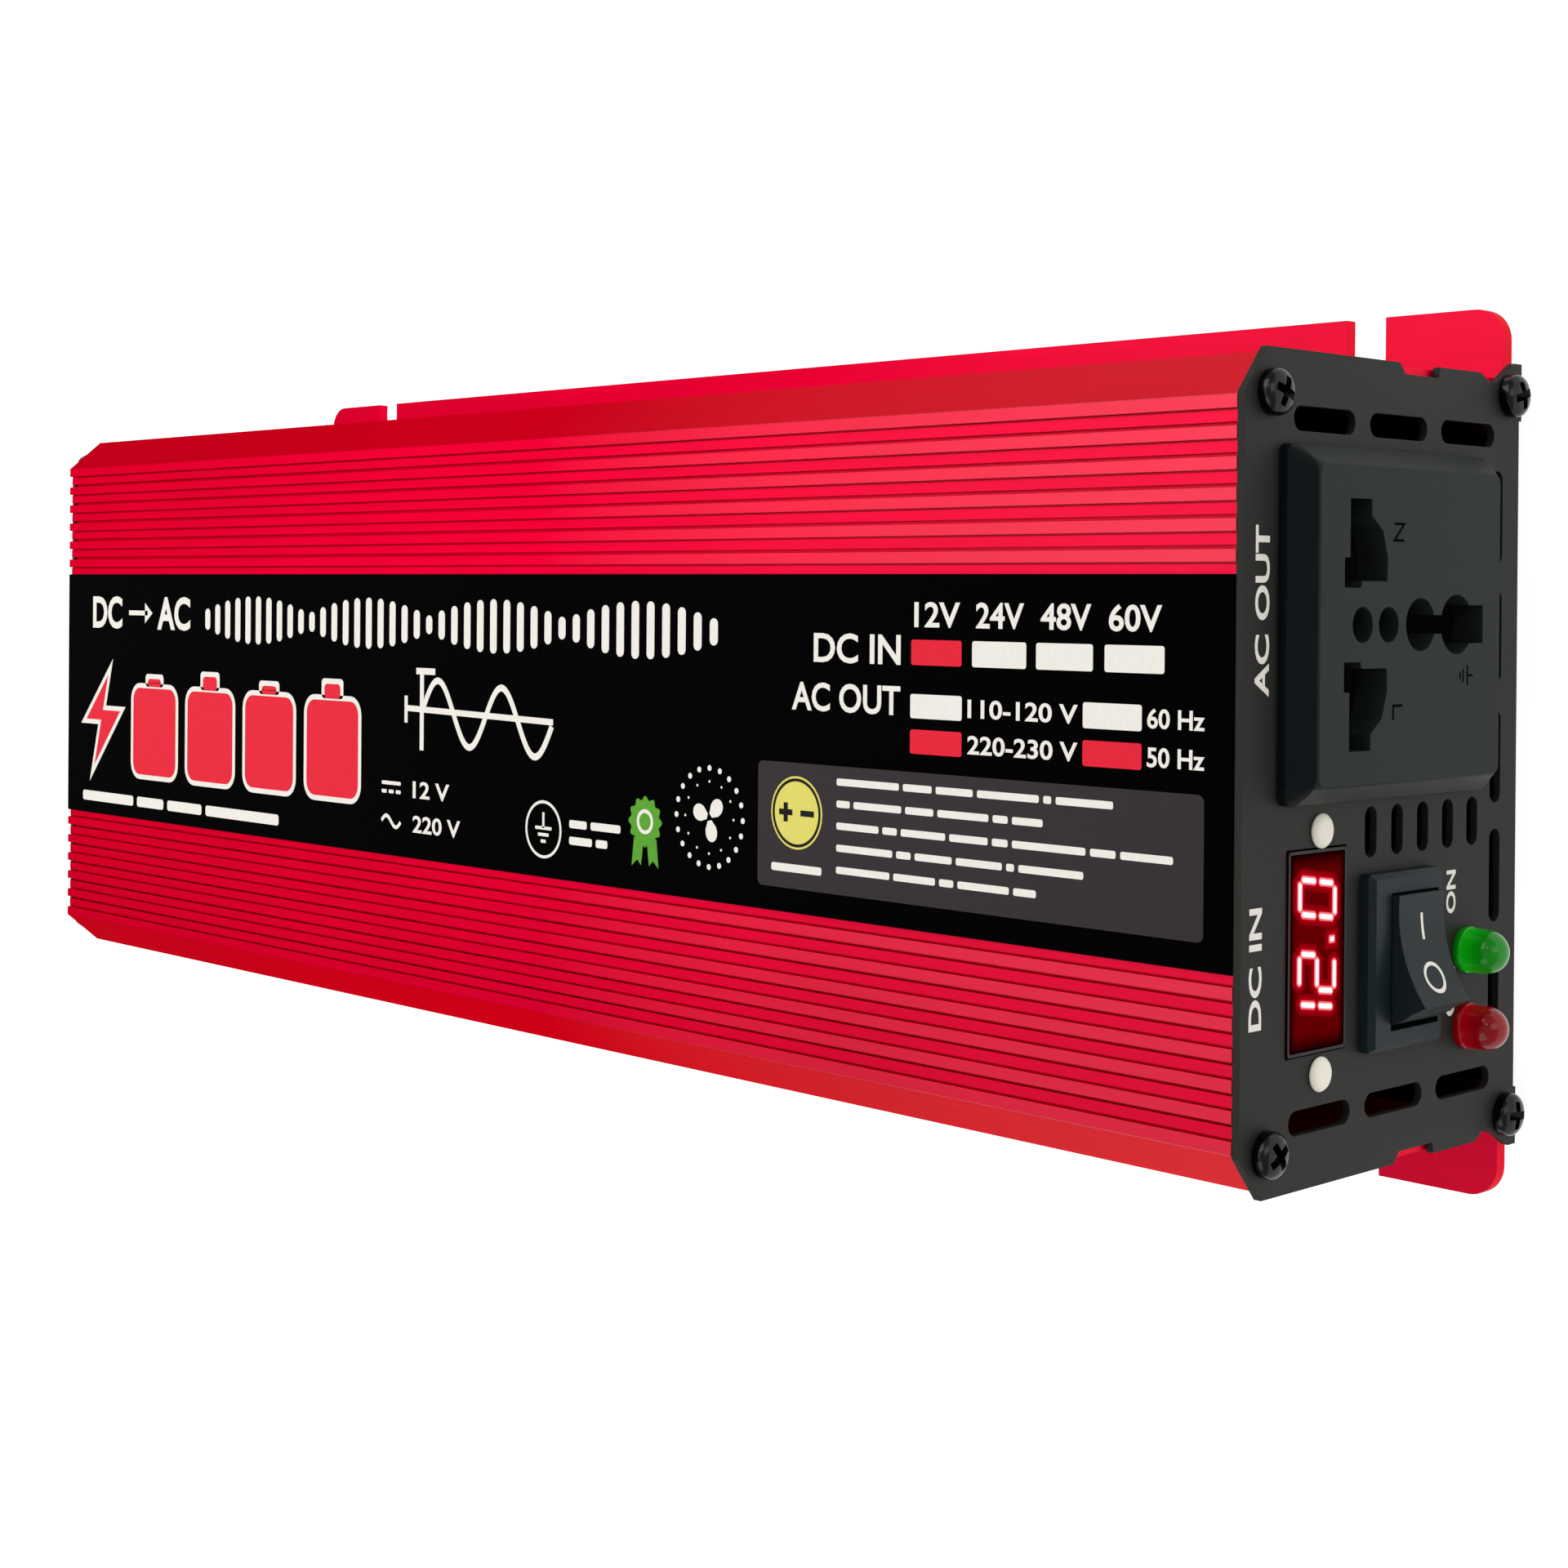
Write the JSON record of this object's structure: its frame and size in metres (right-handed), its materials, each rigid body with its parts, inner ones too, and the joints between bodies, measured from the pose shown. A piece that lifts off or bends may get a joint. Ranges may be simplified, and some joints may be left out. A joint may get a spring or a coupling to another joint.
{
  "type": "power inverter",
  "caption": "Flat ribbed aluminium DC to AC power inverter with a flanged base, three-pin socket, rocker switch, voltmeter, lamps, fan and screw terminals.",
  "frame": {"origin": "centre of the base's underside, midway between the ends of the case", "axes": "+X towards the socket end along the case, +Z out of the labelled face, so -Z is the mounting face's normal"},
  "size_m": [0.309, 0.1178, 0.0623],
  "materials": {
    "red_anodised": "satin red anodised extrusion",
    "black_steel": "satin black powder coat",
    "black_screws": "black oxide, semi-gloss",
    "label_print": "gloss printed sheet",
    "black_moulding": "fine matt moulding",
    "switch_plastic": "satin moulding",
    "nylon": "natural nylon",
    "green_lens": "clear coloured epoxy",
    "red_lens": "clear coloured epoxy",
    "meter_window": "smoked red window",
    "meter_display": "dark red segment display",
    "circuit_board": "green solder mask",
    "brass": "turned brass",
    "copper": "copper strip and wire",
    "zinc_steel": "zinc plated",
    "chrome_wire": "bright plated wire",
    "fan_plastic": "glass-filled moulding",
    "red_plastic": "moulded red",
    "black_plastic": "moulded black",
    "ferrite": "sintered ferrite",
    "winding_tape": "yellow polyester tape",
    "capacitor_sleeve": "shrunk sleeve",
    "chip_epoxy": "moulded epoxy",
    "pad_silicone": "silicone pad",
    "fuse_plastic": "translucent orange",
    "lead_sleeve": "cable insulation"
  },
  "bodies": {
    "case": {"ac_leads": "lead_sleeve", "base_plate": "red_anodised", "blade_fuses": "fuse_plastic", "board_screws": "zinc_steel", "board_standoffs": "zinc_steel", "bulk_capacitors": "capacitor_sleeve", "bushing_negative": "black_plastic", "bushing_positive": "red_plastic", "buzzer": "black_plastic", "case_shell": "red_anodised", "choke_core": "ferrite", "choke_winding": "copper", "clamp_bars": "zinc_steel", "clamp_screws": "zinc_steel", "driver_board": "circuit_board", "end_plate_screws": "black_screws", "fan_frame": "fan_plastic", "fan_guard": "chrome_wire", "fan_nuts": "zinc_steel", "fan_screws": "zinc_steel", "front_end_plate": "black_steel", "indicator_board": "circuit_board", "input_capacitors": "capacitor_sleeve", "input_mosfets": "chip_epoxy", "insulator_pads": "pad_silicone", "label_sheet": "label_print", "lamp_green": "green_lens", "lamp_red": "red_lens", "main_board": "circuit_board", "output_mosfets": "chip_epoxy", "rear_end_plate": "black_steel", "rocker_frame": "switch_plastic", "rocker_terminals": "brass", "socket_body": "black_moulding", "socket_cover": "black_moulding", "socket_earth_contact": "brass", "socket_line_contact": "brass", "socket_neutral_contact": "brass", "strap_negative": "copper", "strap_positive": "copper", "stud_negative": "brass", "stud_nuts": "brass", "stud_positive": "brass", "transformer_bobbins": "black_plastic", "transformer_cores": "ferrite", "transformer_windings": "winding_tape", "voltmeter_board": "circuit_board", "voltmeter_display": "meter_display", "voltmeter_lens": "meter_window", "voltmeter_rivets": "nylon"},
    "rocker": {"rocker_button": "switch_plastic"},
    "rotor": {"fan_rotor": "fan_plastic"},
    "washer_pos": {"washer_positive": "brass"},
    "washer_neg": {"washer_negative": "brass"},
    "knob_pos": {"knob_positive": "red_plastic", "knob_insert_positive": "brass"},
    "knob_neg": {"knob_negative": "black_plastic", "knob_insert_negative": "brass"}
  },
  "joints": [
    {"name": "rocker_tip", "type": "hinge", "parent": "case", "child": "rocker", "pos_m": [0.1398, -0.024, 0.0286], "axis": [0, 0, 1], "range_deg": [-31.4, 0]},
    {"name": "fan_spin", "type": "hinge", "parent": "case", "child": "rotor", "pos_m": [-0.132, 0, 0.0315], "axis": [1, 0, 0], "continuous": true},
    {"name": "washer_pos_travel", "type": "slide", "parent": "case", "child": "washer_pos", "axis": [-1, 0, 0], "range_m": [0, 0.005]},
    {"name": "knob_pos_turn", "type": "hinge", "parent": "washer_pos", "child": "knob_pos", "pos_m": [-0.1478, 0.0365, 0.0315], "axis": [-1, 0, 0], "range_deg": [0, 1440]},
    {"name": "washer_neg_travel", "type": "slide", "parent": "case", "child": "washer_neg", "axis": [-1, 0, 0], "range_m": [0, 0.005]},
    {"name": "knob_neg_turn", "type": "hinge", "parent": "washer_neg", "child": "knob_neg", "pos_m": [-0.1478, -0.0365, 0.0315], "axis": [-1, 0, 0], "range_deg": [0, 1440]}
  ],
  "couplings": [
    {"joint": "knob_pos_turn", "follows": "washer_pos_travel", "rad_per_m": 5026.5},
    {"joint": "knob_neg_turn", "follows": "washer_neg_travel", "rad_per_m": 5026.5}
  ]
}
